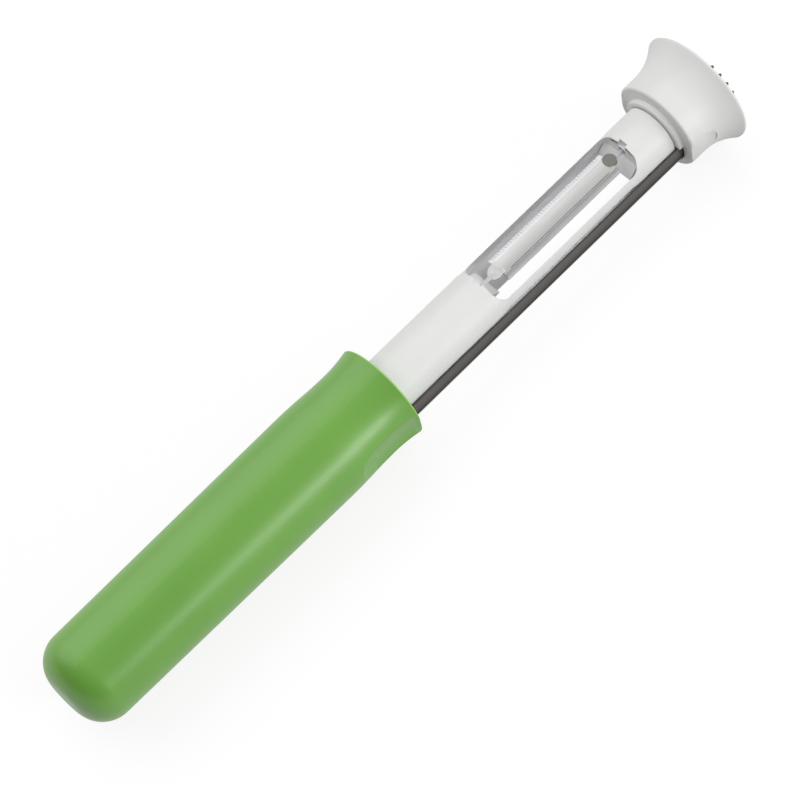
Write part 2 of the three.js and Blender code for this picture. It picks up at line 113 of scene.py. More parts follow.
# Peeler window in the cover, and the slot seen through it in the tube's back
WINDOW_START = 38.5
WINDOW_END = WINDOW_START + 57
WINDOW_HALF = SHELL_R - 1
WINDOW_CORNER = 3.4
CORE_SLOT_LEAD = 6.5
CORE_SLOT_RIGHT = -2.8
CORE_SLOT_LEFT = 3.4
CORE_SLOT_CORNER = 2.5

# Cover shell
SHELL_BORE = SHELL_R - 1.3
SHELL_END = COLLAR_START - SEAM_GAP
SPIGOT_R = SHELL_R - 0.6
SPIGOT_END = 117.0
RAIL_R = SHELL_R - 0.15
RAIL_EDGE_Z = 0.3
RAIL_FOOT_Z = SHELL_EDGE_Z + 0.03
RAIL_STEP = 0.1
RAIL_SLANT = 3.0
RAIL_START = WINDOW_START - 1
RAIL_END = WINDOW_END - 2
RAIL_RUN_OUT = 6.0
WEB_THICK = 1.5
WEB_R = SHELL_BORE + 0.65
WEB_LOW_Z = 2.3
RAMP_TOP_Z = 2.6
RAMP_FOOT_Z = -1.2
RAMP_LEFT = 6.9
NOTCH_DEPTH = 1.0
NOTCH_HALF = 1.4
NOTCH_FLOOR_Z = 6.4

# Head
HEAD_SIDES = 128
COLLAR_R = SHELL_R + 1.7
COLLAR_EDGE_Z = 0.5
HEAD_BASE = COLLAR_START + 1.6
HEAD_BASE_R = 14.2
HEAD_BASE_ROUND = 0.8
HEAD_SKIRT_END = HEAD_BASE + 5.1
HEAD_RIM_R = 18.37
HEAD_LIP = 0.5
HEAD_POCKET_END = HEAD_RIM - 4
DISH_R = 16.5
DISH_FLOOR = HEAD_RIM - 1.3
HEAD_SCOOP_LENGTH = 9.0
HEAD_SCOOP_HALF = 5.7
HEAD_SCOOP_FLOOR = HEAD_BASE_R - 0.8

# Scaler plate
PLATE_SIDES = 96
PLATE_R = 16.2
PLATE_EDGE = 0.1
PLATE_FRONT = PLATE_BACK + 0.8
SCALER_R = 14.0
SCALER_INNER_RINGS = 3
SCALER_RING_STEP = 3.6
SCALER_PITCH = 3.14
SCALER_GROUPS = 4
SCALER_GROUP_TEETH = 4
SCALER_TURN = -38
TOOTH_SIDES = 8
TOOTH_PROFILE = ((-0.15, 1.25), (0, 1.2), (0.7, 0.95), (1.7, 0.66), (2.3, 0.3))

# Peeler blade
PIVOT_Z = 4.9
PIVOT_HOLE_R = 1.3
STUB_R = 0.58
STUB_BITE = 1.6
BLADE_START = WINDOW_START + 7.3
BLADE_END = WINDOW_END - 5.2
BLADE_LEFT = 4.1
BLADE_TOP_Z = 6.14
BLADE_UNDER_Z = 4.36
BLADE_THICK = 0.65
BLADE_CROWN_R = 7.5
BLADE_STEPS = 88
BLADE_POINTS = 44
GRIND_Y = 1.9
GRIND_FALL = 0.2
SERRATION = 0.22
BEND_Y = -2.7
BEND_SLOPE = 0.22
SLIT_Y = -2.5
SLIT_HALF = 0.12
SLIT_MARGIN = 2.6
EAR_HALF = 2.2
EAR_LENGTH = 2.4
LONG_EAR_LENGTH = 3.4
EAR_TIP_Z = 4.95
EAR_ROOT_Z = 6.1
EAR_THICK = 0.6
BOSS_X = BLADE_END + 0.3
BOSS_R = 2.05
BOSS_LOW_Z = 5.6
BOSS_TOP_Z = 6.19


# Outlines and meshes
def arc(cx, cy, r, start, end, steps):
    """Points on a circle between two angles in degrees."""
    points = []
    for i in range(steps + 1):
        a = math.radians(start + (end - start) * i / steps)
        points.append((cx + r * math.cos(a), cy + r * math.sin(a)))
    return points


def circle(cx, cy, r, sides):
    return arc(cx, cy, r, 0, 360, sides)[:-1]


def crown(r, level, steps):
    """The part of a circle about the tool's axis that lies above a level."""
    low = math.degrees(math.asin(level / r))
    return arc(0, 0, r, low, 180 - low, steps)


def gutter(r, rise, steps):
    """The part of a circle about the tube's centre that lies below a rise over that centre."""
    past = math.degrees(math.asin(rise / r))
    return arc(0, -TUBE_DROP, r, 180 - past, 360 + past, steps)


def rectangle(x0, y0, x1, y1):
    return [(x0, y0), (x1, y0), (x1, y1), (x0, y1)]


def rounded(x0, y0, x1, y1, r, steps):
    """Rectangle with round corners."""
    points = arc(x1 - r, y1 - r, r, 0, 90, steps)
    points += arc(x0 + r, y1 - r, r, 90, 180, steps)
    points += arc(x0 + r, y0 + r, r, 180, 270, steps)
    points += arc(x1 - r, y0 + r, r, 270, 360, steps)
    return points


def bezier(p0, p1, p2, p3, steps):
    """Points on a cubic curve, its ends included."""
    points = []
    for i in range(steps + 1):
        t = i / steps
        s = 1 - t
        weights = (s ** 3, 3 * s * s * t, 3 * s * t * t, t ** 3)
        x = sum(w * p[0] for w, p in zip(weights, (p0, p1, p2, p3)))
        y = sum(w * p[1] for w, p in zip(weights, (p0, p1, p2, p3)))
        points.append((x, y))
    return points


def make(name, verts, faces):
    mesh = bpy.data.meshes.new(name)
    mesh.from_pydata([tuple(v) for v in verts], [], faces)
    bm = bmesh.new()
    bm.from_mesh(mesh)
    bmesh.ops.remove_doubles(bm, verts=bm.verts, dist=1e-5)
    bmesh.ops.recalc_face_normals(bm, faces=bm.faces)
    bm.to_mesh(mesh)
    bm.free()
    obj = bpy.data.objects.new(name, mesh)
    bpy.context.scene.collection.objects.link(obj)
    return obj


def lathe(name, profile, sides):
    """Revolve (x, r) points that start and end on the axis, or close on themselves."""
    verts, rows, faces = [], [], []
    for x, r in profile:
        if r < 1e-6:
            rows.append([len(verts)] * sides)
            verts.append((x, 0, 0))
            continue
        rows.append(list(range(len(verts), len(verts) + sides)))
        for i in range(sides):
            a = math.pi * (2 * i + 1) / sides
            verts.append((x, r * math.sin(a), r * math.cos(a)))
    for one, two in zip(rows, rows[1:]):
        for i in range(sides):
            j = (i + 1) % sides
            ring = [one[i], one[j], two[j], two[i]]
            face = [v for k, v in enumerate(ring) if v not in ring[:k]]
            if len(face) > 2:
                faces.append(face)
    return make(name, verts, faces)


def skin(loops, first=0):
    """Faces that join closed loops of points, with an end face on the first and the last."""
    count = len(loops[0])
    last = first + count * (len(loops) - 1)
    faces = [list(range(first, first + count)), list(range(last, last + count))]
    for row in range(first, last, count):
        for i in range(count):
            j = (i + 1) % count
            faces.append([row + i, row + j, row + count + j, row + count + i])
    return faces


def loft(name, loops):
    return make(name, [p for loop in loops for p in loop], skin(loops))


def prism(name, outline, axis, low, high):
    """Extrude a flat outline: axis x takes (y, z) points, y takes (x, z), z takes (x, y)."""
    def lift(p, d):
        if axis == "x":
            return (d, p[0], p[1])
        if axis == "y":
            return (p[0], d, p[1])
        return (p[0], p[1], d)
    return loft(name, [[lift(p, low) for p in outline], [lift(p, high) for p in outline]])


def settle(obj):
    """Replace an object's mesh by the result of its modifiers."""
    shape = obj.evaluated_get(bpy.context.evaluated_depsgraph_get())
    mesh = bpy.data.meshes.new_from_object(shape)
    obj.modifiers.clear()
    old = obj.data
    obj.data = mesh
    bpy.data.meshes.remove(old)


def carve(obj, tool, way="DIFFERENCE"):
    """Cut, join or intersect an object with a tool, which is used up."""
    mod = obj.modifiers.new("carve", "BOOLEAN")
    mod.operation = way
    mod.solver = "EXACT"
    mod.object = tool
    settle(obj)
    mesh = tool.data
    bpy.data.objects.remove(tool)
    bpy.data.meshes.remove(mesh)


def soften(obj, width, steps, angle):
    """Clear needless edges, then round those that turn by more than an angle."""
    bm = bmesh.new()
    bm.from_mesh(obj.data)
    bmesh.ops.dissolve_limit(bm, angle_limit=math.radians(0.4), verts=bm.verts, edges=bm.edges)
    bm.to_mesh(obj.data)
    bm.free()
    mod = obj.modifiers.new("soften", "BEVEL")
    mod.width = width
    mod.segments = steps
    mod.limit_method = "ANGLE"
    mod.angle_limit = math.radians(angle)
    mod.use_clamp_overlap = True
    settle(obj)


def dress(obj, node_name, body, slot, *looks, angle):
    """Put a finished piece in the part's frame and hand it to its body."""
    obj.data.transform(PLACE)
    obj.data.update()
    obj.data.shade_smooth()
    obj.data.set_sharp_from_angle(angle=math.radians(angle))
    obj.data.materials.clear()
    for look in looks:
        obj.data.materials.append(look)
    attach(obj, body)
    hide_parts(node_name)


def faces_of(obj):
    """Each face of a dressed piece with its middle in the tool's own frame."""
    for face in obj.data.polygons:
        x, y, z = face.center / MM
        yield face, x - AXIS_X, y, z - AXIS_Z


# Material nodes
def material(name):
    mat = bpy.data.materials.new(name)
    mat.use_nodes = True
    tree = mat.node_tree
    return mat, tree, tree.nodes["Principled BSDF"]


def node(tree, kind, **values):
    """Add a node, with values for its sockets or its own settings."""
    made = tree.nodes.new(kind)
    for key, value in values.items():
        if key in made.inputs:
            made.inputs[key].default_value = value
        else:
            setattr(made, key, value)
    return made


def maths(tree, operation, one, two):
    """Join two outputs, or an output and a number, by one operation."""
    made = node(tree, "ShaderNodeMath", operation=operation)
    for socket, value in zip(made.inputs, (one, two)):
        if isinstance(value, (int, float)):
            socket.default_value = value
        else:
            tree.links.new(value, socket)
    return made.outputs[0]


def coords(tree, scale=(1, 1, 1)):
    place = node(tree, "ShaderNodeTexCoord")
    size = node(tree, "ShaderNodeMapping")
    size.inputs["Scale"].default_value = scale
    tree.links.new(place.outputs["Object"], size.inputs["Vector"])
    return size.outputs["Vector"]


def place_along(tree, axis):
    """Where a point lies along one axis of the part's frame."""
    axes = node(tree, "ShaderNodeSeparateXYZ")
    tree.links.new(coords(tree), axes.inputs["Vector"])
    return axes.outputs[axis]


def noise(tree, vector, scale, detail, rough=0.5):
    made = node(tree, "ShaderNodeTexNoise", Scale=scale, Detail=detail, Roughness=rough)
    tree.links.new(vector, made.inputs["Vector"])
    return made.outputs["Fac"]


def spread(tree, value, start=0.0, end=1.0, low=0.0, high=1.0, curve="LINEAR"):
    """Carry a value's range from start to end over to low to high."""
    made = node(tree, "ShaderNodeMapRange", interpolation_type=curve)
    for key, number in (("From Min", start), ("From Max", end), ("To Min", low), ("To Max", high)):
        made.inputs[key].default_value = number
    tree.links.new(value, made.inputs["Value"])
    return made.outputs["Result"]


def tint(tree, value, *stops):
    """Colour a value by stops, each a place and a colour."""
    made = node(tree, "ShaderNodeValToRGB")
    elements = made.color_ramp.elements
    for element, (spot, colour) in zip(list(elements), stops):
        element.position = spot
        element.color = (*colour, 1)
    for spot, colour in stops[2:]:
        elements.new(spot).color = (*colour, 1)
    tree.links.new(value, made.inputs["Fac"])
    return made.outputs["Color"]


def bump(tree, shader, height, strength, distance):
    made = node(tree, "ShaderNodeBump", Strength=strength, Distance=distance)
    tree.links.new(height, made.inputs["Height"])
    tree.links.new(made.outputs["Normal"], shader.inputs["Normal"])


# Kinds of material: noise below DARK_AT takes the dark colour and above LIGHT_AT the light one
DARK_AT = 0.3
LIGHT_AT = 0.7
DRIFT_SCALE = 38
GRAIN_SCALE = 2600
GRAIN_DEPTH = 0.00003
SEAM_HALF = 0.00022
SEAM_RISE = 2.2
CLOUD_SCALE = 60
LINE_DEPTH = 0.00002
LINES_ALONG = 40
LINES_ACROSS = 1800


def moulded(name, dark, light, rough, grain, seam=None, shine=0.5):
    """Moulded plastic: slight colour drift, uneven gloss, fine grain and, if asked, a parting line at y."""
    mat, tree, shader = material(name)
    drift = noise(tree, coords(tree), DRIFT_SCALE, 2)
    height = noise(tree, coords(tree), GRAIN_SCALE, 2)
    tree.links.new(tint(tree, drift, (DARK_AT, dark), (LIGHT_AT, light)), shader.inputs["Base Color"])
    tree.links.new(spread(tree, drift, low=rough - 0.05, high=rough + 0.06), shader.inputs["Roughness"])
    if seam is not None:
        height = maths(tree, "ADD", parting(tree, seam), height)
    bump(tree, shader, height, grain, GRAIN_DEPTH)
    shader.inputs["IOR"].default_value = 1.52
    shader.inputs["Specular IOR Level"].default_value = shine
    return mat


def parting(tree, seam):
    """Height of a thin raised line at one y."""
    away = maths(tree, "ABSOLUTE", maths(tree, "SUBTRACT", place_along(tree, "Y"), seam), 0.0)
    return spread(tree, away, end=SEAM_HALF, low=SEAM_RISE, high=0.0, curve="SMOOTHSTEP")


def drawn_lines(tree, along=LINES_ALONG, across=LINES_ACROSS):
    """Fine lines along the tool, as on drawn sheet."""
    return noise(tree, coords(tree, (along, across, across)), 1, 4, 0.6)


def brushed(name, dark, light, rough, grain, across=LINES_ACROSS, along=LINES_ALONG, metal=1.0):
    """Sheet steel with fine drawn lines along the tool."""
    mat, tree, shader = material(name)
    lines = drawn_lines(tree, along, across)
    cloud = noise(tree, coords(tree), CLOUD_SCALE, 2)
    tree.links.new(tint(tree, lines, (DARK_AT, dark), (LIGHT_AT, light)), shader.inputs["Base Color"])
    tree.links.new(spread(tree, cloud, low=rough - 0.05, high=rough + 0.08), shader.inputs["Roughness"])
    bump(tree, shader, lines, grain, LINE_DEPTH)
    shader.inputs["Metallic"].default_value = metal
    return mat


def painted_reflection_flank(name):
    """Outside of the tube with a painted reflection: dark in its upper half and bright below, standing in
    for the floor and horizon it would mirror.
    """
    low_z = (AXIS_Z - 8.5) * MM
    high_z = (AXIS_Z + 0.5) * MM
    line_share = 0.05
    mat, tree, shader = material(name)
    lines = drawn_lines(tree)
    band = spread(tree, place_along(tree, "Z"), low_z, high_z)
    band = maths(tree, "ADD", maths(tree, "MULTIPLY", lines, line_share), band)
    shade = tint(tree, band, (0.24, (0.7, 0.69, 0.68)), (0.44, (0.075, 0.07, 0.068)),
                 (0.56, (0.16, 0.152, 0.1472)), (0.9, (0.14, 0.133, 0.1288)))
    tree.links.new(shade, shader.inputs["Base Color"])
    bump(tree, shader, lines, 0.5, LINE_DEPTH)
    shader.inputs["Roughness"].default_value = 0.36
    shader.inputs["Metallic"].default_value = 1.0
    shader.inputs["Specular Tint"].default_value = (0.3, 0.3, 0.3, 1)
    return mat


def grey(level, warm=0.0):
    """A grey with a little less blue, or more where warm is below zero."""
    return (level, level, level - warm)


# Materials of the pieces
GREEN = moulded("green_plastic", (0.133, 0.365, 0.033), (0.147, 0.39, 0.038), rough=0.38, grain=0.25,
                seam=-0.0018, shine=0.8)
# Painted highlight: a lighter green on the mouth's rounded lip stands in for the light along its rim.
LIP_HIGHLIGHT = moulded("green_lip_painted_highlight", (0.24, 0.57, 0.055), (0.27, 0.61, 0.065), rough=0.42, grain=0.25)
WHITE = moulded("white_plastic", grey(0.765, 0.01), grey(0.8, 0.01), rough=0.5, grain=0.15)
PLUG = moulded("plug_plastic", grey(0.66, 0.02), grey(0.72, 0.02), rough=0.5, grain=0.3)
# Painted light: a brighter white on the webs, ramps and the arch's inside by the window, lifting the shade
# that falls there.
WEB_LIGHTENED = moulded("web_plastic_painted_light", grey(0.88, -0.005), grey(0.92, -0.005), rough=0.42, grain=0.15)
SLEEVE = moulded("pivot_sleeve", grey(0.55, -0.01), grey(0.6, -0.01), rough=0.5, grain=0.2)
# Painted reflection: the tube's outside is coloured dark above and bright below by height.
TUBE_OUT_REFLECTION = painted_reflection_flank("tube_outside_painted_reflection")
TUBE_IN = brushed("tube_inside", grey(0.86, -0.01), grey(0.91, -0.02), rough=0.49, grain=0.3, metal=0.7)
TUBE_EDGE = brushed("tube_edge", grey(0.86), grey(0.92), rough=0.4, grain=0.2)
# Painted shade: near-black steel on the tube's edge faces, standing in for the dark gap between the cover's
# rails and the tube.
TUBE_EDGE_SHADE = brushed("tube_edge_painted_shade", (0.09, 0.087, 0.085), (0.13, 0.125, 0.122), rough=0.5, grain=0.2)
PIN = brushed("pin_wire", grey(0.5), grey(0.6), rough=0.35, grain=0.3)
BLADE = brushed("blade_steel", grey(0.66, 0.01), grey(0.73, 0.01), rough=0.6, grain=0.35)
GROUND = brushed("blade_edge", grey(0.75, -0.02), grey(0.82, -0.02), rough=0.55, grain=0.35)
# Painted shade: the bent flange takes a much darker copy of the blade steel, for the shade on that side.
FLANGE_SHADE = brushed("blade_flange_painted_shade", grey(0.31), grey(0.37), rough=0.55, grain=0.35)
# Painted shade: near-black steel on the round boss at the blade's head end, standing in for the shade seen
# there.
BOSS_SHADE = brushed("blade_boss_painted_shade", grey(0.2, 0.02), grey(0.26, 0.025), rough=0.5, grain=0.3)
PLATE = brushed("scaler_steel", grey(0.48), grey(0.58), rough=0.34, grain=0.3, across=900, along=900)
# Painted shade: the teeth take a near-black copy of the disc's steel, for the shade among them inside the
# head.
TOOTH_SHADE = brushed("scaler_tooth_painted_shade", grey(0.08), grey(0.13, 0.005), rough=0.4, grain=0.3, across=900, along=900)


# Handle: a lathed sleeve with a thumb scoop on each side
def scoop(edge, way, length, half, floor, outside, side):
    """Cutter for a thumb scoop: a plan with one round end, over a floor of (x, y) points."""
    root = 5
    plan = [(edge - way, -half)]
    plan += arc(edge + way * (length - half), 0, half, 90 - 180 * way, 90, 40)
    plan.append((edge - way, half))
    tool = prism("scoop", plan, "y", *sorted((side * root, side * outside)))
    above = side * (outside + OVER)
    profile = [(x, side * y) for x, y in floor] + [(floor[-1][0], above), (floor[0][0], above)]
    carve(tool, prism("floor", profile, "z", -half - OVER, half + OVER), "INTERSECT")
    return tool


def handle_outside():
    """The sleeve's outer profile: round end, slow swell, waist and flared mouth."""
    turn = HANDLE_BACK + HANDLE_END_ROUND
    points = [(HANDLE_BACK, 0)]
    points += arc(turn, HANDLE_END_R - HANDLE_END_ROUND, HANDLE_END_ROUND, 180, 90, 24)
    for k in range(1, 20):
        t = k / 20
        points.append((turn + (BELLY_X - turn) * t, HANDLE_END_R + (BELLY_R - HANDLE_END_R) * t))
    middle = (BELLY_X + WAIST_X) / 2
    points += bezier((BELLY_X, BELLY_R), (middle, BELLY_R), (middle, WAIST_R), (WAIST_X, WAIST_R), 20)
    bend = (MOUTH - 3.2, WAIST_R + 0.35)
    rim = (MOUTH - 0.62, MOUTH_R - 0.04)
    points += bezier((WAIST_X, WAIST_R), (WAIST_X + 2.5, WAIST_R), bend, rim, 12)[1:]
    points += arc(MOUTH - LIP_ROUND, MOUTH_R - LIP_ROUND, LIP_ROUND, 80, 0, 8)
    return points


def handle_inside():
    """The sleeve's inner profile: a chamfered bore for the plug, then a plain hollow."""
    seat = PLUG_BACK - SEAM_GAP
    turn = HANDLE_BACK + HANDLE_END_ROUND
    end = HANDLE_BACK + HANDLE_END_WALL
    points = [(MOUTH, PLUG_BORE_R + MOUTH_CHAMFER), (MOUTH - MOUTH_CHAMFER, PLUG_BORE_R)]
    points += [(seat, PLUG_BORE_R), (seat, HOLLOW_R), (turn, HOLLOW_R), (end, HOLLOW_END_R), (end, 0)]
    return points


def build_handle():
    obj = lathe("handle_sleeve", handle_outside() + handle_inside(), HANDLE_SIDES)
    start = MOUTH - HANDLE_SCOOP_LENGTH
    bottom = HANDLE_SCOOP_FLOOR
    shoulder = bottom + HANDLE_SCOOP_RISE
    mouth = (MOUTH, HANDLE_SCOOP_MOUTH_R)
    lowest = (WAIST_X, bottom)
    floor = bezier((start, BELLY_R), (start + 2.5, shoulder), (WAIST_X - 5.5, bottom), lowest, 20)
    floor += bezier(lowest, (WAIST_X + 3, bottom), (MOUTH - 3, shoulder), mouth, 14)[1:]
    floor.append((MOUTH + OVER, HANDLE_SCOOP_MOUTH_R + 0.1))
    for side in (1, -1):
        carve(obj, scoop(MOUTH, -1, HANDLE_SCOOP_LENGTH, HANDLE_SCOOP_HALF, floor, MOUTH_R + OVER, side))
    soften(obj, width=0.1, steps=2, angle=20)
    dress(obj, "handle", "handle", "green_plastic", GREEN, LIP_HIGHLIGHT, angle=40)
    for face, x, y, z in faces_of(obj):
        # Forward-facing faces of the mouth's rounded lip take the painted highlight.
        face.material_index = 1 if x > -LIP_ROUND and face.normal.x > 0.1 else 0


# Coring tube: an open section with two tang strips, a toothed tip and a slot in its back
def tube_loop(x):
    ring = gutter(TUBE_R, TUBE_DROP, 96) + gutter(TUBE_BORE, TUBE_DROP, 96)[::-1]
    return [(x, y, z) for y, z in ring]


def tip_notch(a):
    """Cutter for the gap between two teeth of the tip, at an angle about the tube's centre."""
    front = TUBE_TIP + 0.5
    plan = [(TUBE_TIP - TIP_TOOTH_DEPTH, 0), (front, -TIP_NOTCH_HALF), (front, TIP_NOTCH_HALF)]
    notch = prism("notch", plan, "z", TUBE_BORE - 1.5, TUBE_R + 2)
    turn = Matrix.Rotation(a - math.pi / 2, 4, "X")
    notch.data.transform(Matrix.Translation((0, 0, -TUBE_DROP)) @ turn)
    return notch


def build_tube():
    obj = loft("corer_tube", [tube_loop(x) for x in (TANG_BACK, TUBE_SHOULDER, TUBE_TIP)])
    far = TUBE_R + TUBE_DROP + OVER
    foot = rectangle(-far, -far, far, TANG_FOOT_Z)
    carve(obj, prism("foot", foot, "x", TANG_BACK - OVER, TUBE_SHOULDER))
    past = math.asin(TUBE_DROP / TUBE_R)
    for k in range(TIP_TEETH):
        carve(obj, tip_notch(math.pi - past + (math.pi + 2 * past) * (k + 0.5) / TIP_TEETH))
    start = WINDOW_START - CORE_SLOT_LEAD
    end = WINDOW_END + CORE_SLOT_LEAD
    slot = rounded(start, CORE_SLOT_RIGHT, end, CORE_SLOT_LEFT, CORE_SLOT_CORNER, 10)
    carve(obj, prism("core_slot", slot, "z", -far, TANG_FOOT_Z))
    soften(obj, width=0.1, steps=1, angle=50)
    dress(obj, "coring_tube", "handle", "tube_steel", TUBE_OUT_REFLECTION, TUBE_IN, TUBE_EDGE, TUBE_EDGE_SHADE, angle=30)
    inside = TUBE_BORE + 0.12
    edge_inside = TUBE_R - 0.2
    edge_z = -0.4
    for face, x, y, z in faces_of(obj):
        r = math.hypot(y, z + TUBE_DROP)
        # Outer faces take the painted reflection, inner faces plain steel.
        face.material_index = 1 if r < inside else 0
        # Top faces of the edges: the inner strip of the left edge keeps bright steel, the rest takes the
        # painted shade.
        if face.normal.z > 0.5 and z > edge_z:
            face.material_index = 2 if y > 0 and r < edge_inside else 3


# Cover shell: an arch with the peeler window, slim rails and a web with a pivot hole at each end
def arch_loop(x, r, level):
    ring = crown(r, level, 96) + crown(SHELL_BORE, level, 96)[::-1]
    return [(x, y, z) for y, z in ring]


def web(start):
    """Wall across the top of the arch, with a round hole for a stub pivot."""
    end = start + WEB_THICK
    wall = prism("web", crown(WEB_R, WEB_LOW_Z, 60), "x", start, end)
    carve(wall, prism("hole", circle(0, PIVOT_Z, PIVOT_HOLE_R, 32), "x", start - OVER, end + OVER))
    return wall


def window_end(obj, end, way, length, right):
    """Add the slope under a pivot at one end of the window, and cut the notch above it."""
    back = end + WEB_THICK * way
    slope = [(end, RAMP_TOP_Z), (back, RAMP_TOP_Z), (back, RAMP_FOOT_Z), (end - length * way, RAMP_FOOT_Z)]
    carve(obj, prism("ramp", slope, "y", right, RAMP_LEFT), "UNION")
    notch = rectangle(end - NOTCH_DEPTH, -NOTCH_HALF, end + NOTCH_DEPTH, NOTCH_HALF)
    carve(obj, prism("notch", notch, "z", NOTCH_FLOOR_Z, SHELL_R + OVER))


def build_shell():
    stations = [
        (SHELL_TAIL, SHELL_R, SHELL_EDGE_Z),
        (RAIL_START, SHELL_R, SHELL_EDGE_Z),
        (RAIL_START + RAIL_STEP, RAIL_R, RAIL_FOOT_Z),
        (RAIL_START + RAIL_SLANT, RAIL_R, RAIL_EDGE_Z),
        (RAIL_END - RAIL_SLANT, RAIL_R, RAIL_EDGE_Z),
        (RAIL_END - RAIL_STEP, RAIL_R + 0.04, RAIL_FOOT_Z),
        (RAIL_END + RAIL_RUN_OUT, SHELL_R, SHELL_EDGE_Z),
        (SHELL_END, SHELL_R, SHELL_EDGE_Z),
        (SHELL_END, SPIGOT_R, SHELL_EDGE_Z),
        (SPIGOT_END, SPIGOT_R, SHELL_EDGE_Z),
    ]
    obj = loft("cover_arch", [arch_loop(x, r, level) for x, r, level in stations])
    plan = rounded(WINDOW_START, -WINDOW_HALF, WINDOW_END, WINDOW_HALF, WINDOW_CORNER, 14)
    carve(obj, prism("window", plan, "z", SHELL_EDGE_Z - OVER, SHELL_R + OVER))
    carve(obj, web(WINDOW_START - WEB_THICK), "UNION")
    carve(obj, web(WINDOW_END), "UNION")
    window_end(obj, WINDOW_START, -1, length=4.5, right=-2.5)
    window_end(obj, WINDOW_END, 1, length=3.2, right=-5.5)
    soften(obj, width=0.25, steps=3, angle=35)
    dress(obj, "cover_shell", "cover", "white_plastic", WHITE, WEB_LIGHTENED, angle=32)
    low, high = WINDOW_START - WEB_THICK - OVER, WINDOW_END + WEB_THICK + OVER
    for face, x, y, z in faces_of(obj):
        # Faces inside the arch near the window ends take the brighter white, which is painted light.
        face.material_index = 1 if low < x < high and math.hypot(y, z) < SHELL_BORE + 0.1 else 0


# Head: a lathed bell with a collar over the shell's end, sockets for spigot and tube, and thumb scoops
def head_profile():
    points = [(HEAD_BASE, 0)]
    points += arc(HEAD_BASE + HEAD_BASE_ROUND, HEAD_BASE_R - HEAD_BASE_ROUND, HEAD_BASE_ROUND, 180, 90, 10)
    bend = (HEAD_RIM - 4.2, HEAD_BASE_R + 1.4)
    rim = (HEAD_RIM - 0.7, HEAD_RIM_R - 0.07)
    points += bezier((HEAD_SKIRT_END, HEAD_BASE_R), (HEAD_SKIRT_END + 4, HEAD_BASE_R), bend, rim, 28)
    points += arc(HEAD_RIM - HEAD_LIP, HEAD_RIM_R - HEAD_LIP, HEAD_LIP, 75, 0, 8)
    points += [(HEAD_RIM, DISH_R + 0.5), (HEAD_RIM - 0.3, DISH_R), (DISH_FLOOR, DISH_R), (DISH_FLOOR, 0)]
    return points


def collar():
    """A ring round the shell's end, with a rounded front edge."""
    loops = []
    for lead, fall in ((0, 0.4), (0.15, 0.15), (0.5, 0), (3.2, 0)):
        ring = crown(COLLAR_R - fall, COLLAR_EDGE_Z, 80)
        loops.append([(COLLAR_START + lead, y, z) for y, z in ring])
    return loft("collar", loops)


def build_head():
    obj = lathe("cover_bell", head_profile(), HEAD_SIDES)
    carve(obj, collar(), "UNION")
    spigot = crown(SPIGOT_R + FIT_GAP, SHELL_EDGE_Z - SEAM_GAP, 90)
    tube = gutter(TUBE_R + FIT_GAP, TUBE_DROP + SEAM_GAP, 90)
    for outline in (spigot, tube):
        carve(obj, prism("socket", outline, "x", COLLAR_START - OVER, HEAD_POCKET_END))
    floor = [
        (HEAD_BASE - 2.4, HEAD_SCOOP_FLOOR),
        (HEAD_SKIRT_END, HEAD_SCOOP_FLOOR),
        (HEAD_BASE + HEAD_SCOOP_LENGTH, HEAD_SCOOP_FLOOR + 0.9),
        (HEAD_RIM + 0.5, HEAD_SCOOP_FLOOR + 3.6),
    ]
    for side in (1, -1):
        carve(obj, scoop(HEAD_BASE, 1, HEAD_SCOOP_LENGTH, HEAD_SCOOP_HALF, floor, HEAD_RIM_R + OVER, side))
    soften(obj, width=0.22, steps=3, angle=30)
    dress(obj, "cover_head", "cover", "white_plastic", WHITE, angle=40)


# Scaler plate: a disc with rings of punched teeth
def tooth_places():
    """Radius and angle of each tooth: groups of four on the outer ring, then full rings."""
    places = []
    for group in range(SCALER_GROUPS):
        middle = math.radians(360 * group / SCALER_GROUPS + SCALER_TURN)
        for k in range(SCALER_GROUP_TEETH):
            step = k - (SCALER_GROUP_TEETH - 1) / 2
            places.append((SCALER_R, middle + step * SCALER_PITCH / SCALER_R))
    for ring in range(1, SCALER_INNER_RINGS + 1):
        radius = SCALER_R - ring * SCALER_RING_STEP
        count = int(2 * math.pi * radius / SCALER_PITCH)
        places += [(radius, 2 * math.pi * (k + 0.5) / count) for k in range(count)]
    return places


def tooth_loops(radius, a):
    """Closed loops of one tooth, from its root to its tip."""
    y = radius * math.sin(a)
    z = radius * math.cos(a)
    turns = [a + 2 * math.pi * i / TOOTH_SIDES for i in range(TOOTH_SIDES)]
    loops = []
    for rise, r in TOOTH_PROFILE:
        loops.append([(PLATE_FRONT + rise, y + r * math.sin(b), z + r * math.cos(b)) for b in turns])
    return loops


def build_plate():
    edge = PLATE_R - PLATE_EDGE
    profile = [(PLATE_BACK, 0), (PLATE_BACK, edge), (PLATE_BACK + PLATE_EDGE, PLATE_R)]
    profile += [(PLATE_FRONT - PLATE_EDGE, PLATE_R), (PLATE_FRONT, edge), (PLATE_FRONT, 0)]
    obj = lathe("scaler_disc", profile, PLATE_SIDES)
    verts = []
    faces = []
    for radius, a in tooth_places():
        loops = tooth_loops(radius, a)
        faces += skin(loops, len(verts))
        verts += [p for loop in loops for p in loop]
    carve(obj, make("teeth", verts, faces), "UNION")
    dress(obj, "scaler_plate", "cover", "scaler_steel", PLATE, TOOTH_SHADE, angle=30)
    for face, x, y, z in faces_of(obj):
        # Faces past the disc's front, the teeth, take the painted shade.
        face.material_index = 1 if x > PLATE_FRONT + 0.05 else 0


